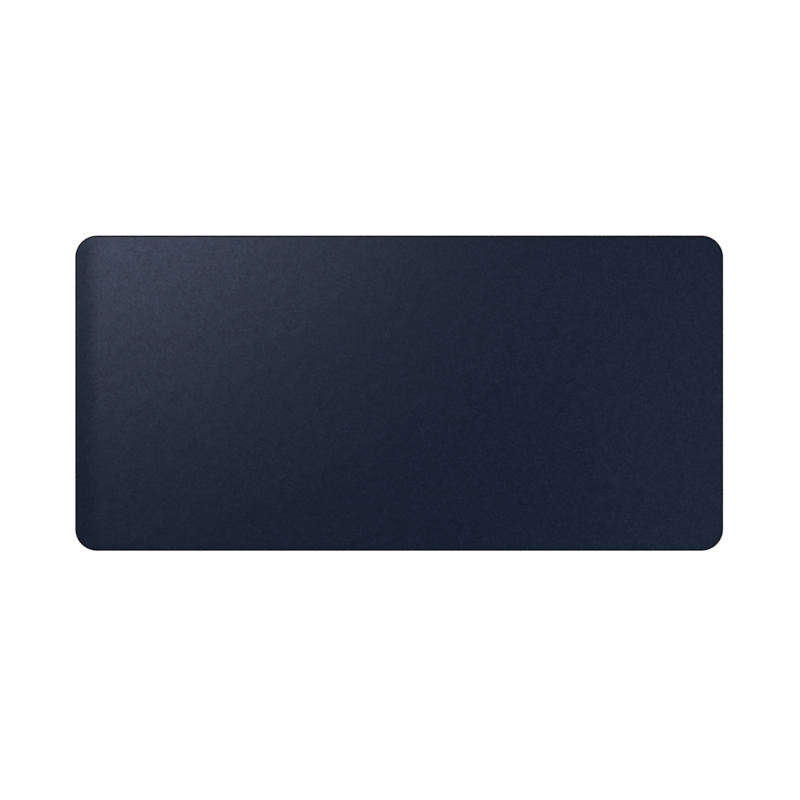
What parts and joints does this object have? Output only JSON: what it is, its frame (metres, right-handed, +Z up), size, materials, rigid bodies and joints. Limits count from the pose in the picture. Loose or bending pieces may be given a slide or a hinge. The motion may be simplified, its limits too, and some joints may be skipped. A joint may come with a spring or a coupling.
{
  "type": "desk mat",
  "caption": "Thin rectangular desk mat with rounded corners: a grained leather-look skin bonded to a stiff core and a suede base, with a black coated edge.",
  "frame": {"origin": "centre of the underside, in the plane of the desk top that the mat lies on", "axes": "+X along the long side to the user's right, +Y along the short side away from the user, +Z up out of the work surface"},
  "size_m": [0.889, 0.433, 0.002],
  "materials": {
    "skin": "navy polyurethane leather, fine pebble grain, satin",
    "cloth": "fine knitted backing cloth",
    "glue": "thin hot-melt film, dull",
    "core": "bonded-fibre sheet, matt, speckled",
    "suede": "charcoal microfibre suede, short nap",
    "coat": "black edge paint, smooth, satin"
  },
  "bodies": {
    "root": {"top_skin": "skin", "skin_cloth": "cloth", "upper_glue_film": "glue", "core_sheet": "core", "lower_glue_film": "glue", "suede_base": "suede", "edge_coat": "coat"}
  },
  "joints": []
}
